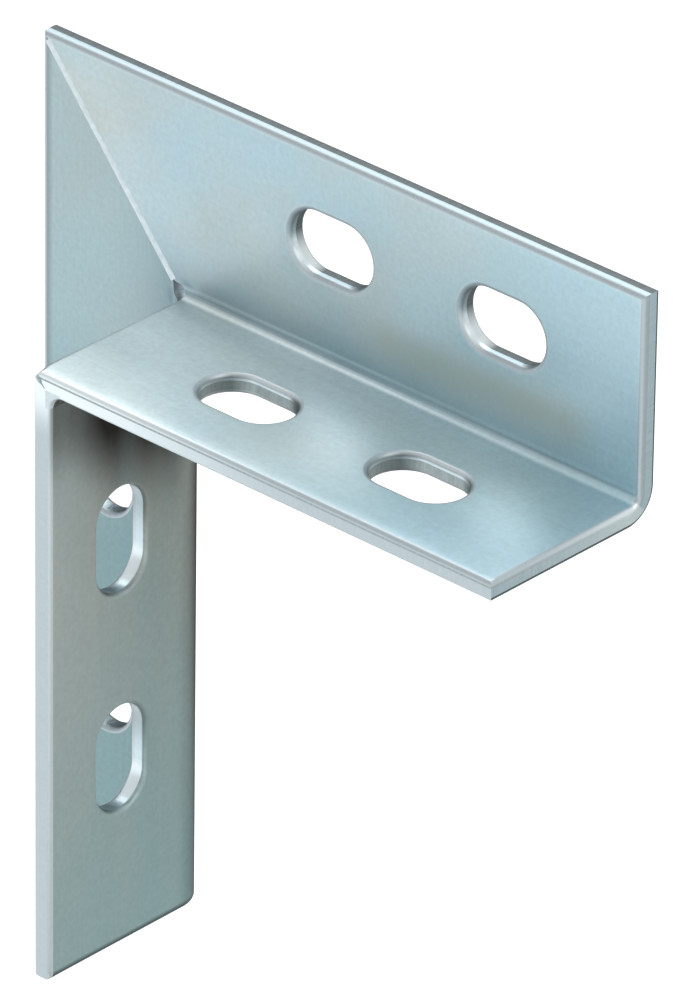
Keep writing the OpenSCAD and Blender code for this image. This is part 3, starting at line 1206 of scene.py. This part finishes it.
@dataclass(frozen=True)
class PhotoCamera:
    """The photograph's camera: a long lens that looks down on the bracket from its right front."""

    aim: Xyz = (-0.02426, 0.00097, -0.05916)
    distance: float = 2.35086
    azimuth_deg: float = 42.5533
    elevation_deg: float = 29.3100
    roll_deg: float = 0.7808
    focal_px: float = 11819.7
    sensor_mm: float = 36.0

    def build(self) -> None:
        """Adds the camera and makes it the scene's own."""
        azimuth, elevation = math.radians(self.azimuth_deg), math.radians(self.elevation_deg)
        back = Vector((math.sin(azimuth) * math.cos(elevation), -math.cos(azimuth) * math.cos(elevation),
                       math.sin(elevation)))
        data = bpy.data.cameras.new("photo_camera")
        data.sensor_width = self.sensor_mm
        data.lens = self.focal_px / max(PHOTO_SIZE) * data.sensor_width
        camera = bpy.data.objects.new("photo_camera", data)
        level = back.to_track_quat("Z", "Y").to_matrix().to_4x4()
        turned = level @ Matrix.Rotation(math.radians(self.roll_deg), 4, "Z")
        camera.matrix_world = Matrix.Translation(Vector(self.aim) + self.distance * back) @ turned
        bpy.context.scene.collection.objects.link(camera)
        bpy.context.scene.camera = camera


def shared_finishes() -> list[Material]:
    """Returns the finishes that both arms have, in the order of the zones that follow the sheet."""
    finishes = (
        # The back's dark rim colour is painted shade along its cut edges.
        PlatedSheet("zinc_plated_back", cool=(0.26, 0.345, 0.345), warm=(0.335, 0.35, 0.31), pale_and_highlight=(0.43, 0.48, 0.47),
                    cloud_scale=(7.0, 70.0), far=(0.29, 0.43, 0.45), far_span_mm=(45.0, 135.0),
                    rim=(0.05, 0.075, 0.08), rim_width_mm=1.9, rim_share=0.95, roughness=0.40, metal=0.6),
        CutWall("tumbled_edge", (0.395, 0.465, 0.495), (0.445, 0.51, 0.54), roughness=0.40, relief=0.10, metal=0.85,
                highlight_share=0.8),
        CutWall("burnished_cut", (0.42, 0.55, 0.615), (0.49, 0.615, 0.675), roughness=0.32, relief=0.08, metal=0.85,
                highlight_share=0.7),
        CutWall("torn_cut", (0.10, 0.125, 0.13), (0.16, 0.19, 0.20), roughness=0.45, relief=0.5, metal=0.5,
                highlight_share=0.75),
        CutWall("dull_cut", (0.27, 0.33, 0.335), (0.38, 0.44, 0.445), roughness=0.42, relief=0.15, metal=0.7),
    )
    return [finish.material() for finish in finishes]


def main() -> None:
    """Loads the frame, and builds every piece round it."""
    logging.basicConfig(level=logging.INFO, format="%(name)s: %(message)s")
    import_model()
    cad_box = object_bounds()
    bpy.context.scene.view_settings.view_transform = "Standard"
    heel = Vector((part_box("vertical_arm")[1].x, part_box("horizontal_arm")[1].y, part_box("horizontal_arm")[0].z))
    # The upper sheet's painted shade is brownish grey: the band above the fold and the shadow by the weld.
    upper = PlatedSheet("zinc_plated_upper_sheet", painted_shade=(0.38, 0.42, 0.36)).material()
    # The lower sheet's far tint is painted shade down the lower arm.
    lower = PlatedSheet("zinc_plated_lower_sheet", cool=(0.34, 0.47, 0.50), warm=(0.37, 0.465, 0.48),
                        pale_and_highlight=(0.44, 0.53, 0.55), far=(0.20, 0.32, 0.34), far_span_mm=(10.0, 60.0),
                        rim=(0.16, 0.19, 0.20), rim_width_mm=2.8, rim_share=0.55).material()
    rest = shared_finishes()
    weld = WeldBead().material()
    # A near-black weld finish as painted shadow in the corner under the shelf.
    weld_in_shade = WeldBead("weld_painted_shade", colour=(0.13, 0.13, 0.11), hollow=(0.05, 0.05, 0.042), metal=0.5).material()
    pieces = [
        FoldedArm("horizontal_arm", "upper_angle", ArmPlace.HORIZONTAL, heel, length=117.5, flange=50.0,
                  other_flange=43.0, flange_slots=(35.5, 29.5), leaf_slots=(34.0, 26.0), slot_length=22.0,
                  pitch=45.5).build([upper, *rest]),
        FoldedArm("vertical_arm", "lower_angle", ArmPlace.VERTICAL, heel, length=135.0, flange=43.0,
                  other_flange=50.0, flange_slots=(41.0, 25.5), leaf_slots=(41.0, 26.0), slot_length=24.0,
                  pitch=50.5, leaf_toe=EdgeKind.ROLLED, slot_cuts=(EdgeKind.TUMBLED, EdgeKind.TUMBLED),
                  rimmed_slots=False, tones=ArmTones(highlight_reach=6.0, band_shade=0.0)).build([lower, *rest]),
        MitreBead(heel).build(weld),
        CornerBead(heel).build(weld, weld_in_shade),
    ]
    Studio(cad_box[0]).build()
    PhotoCamera().build()
    LOG.info("pieces: %s", ", ".join(piece.name for piece in pieces))


if __name__ == "__main__":
    main()
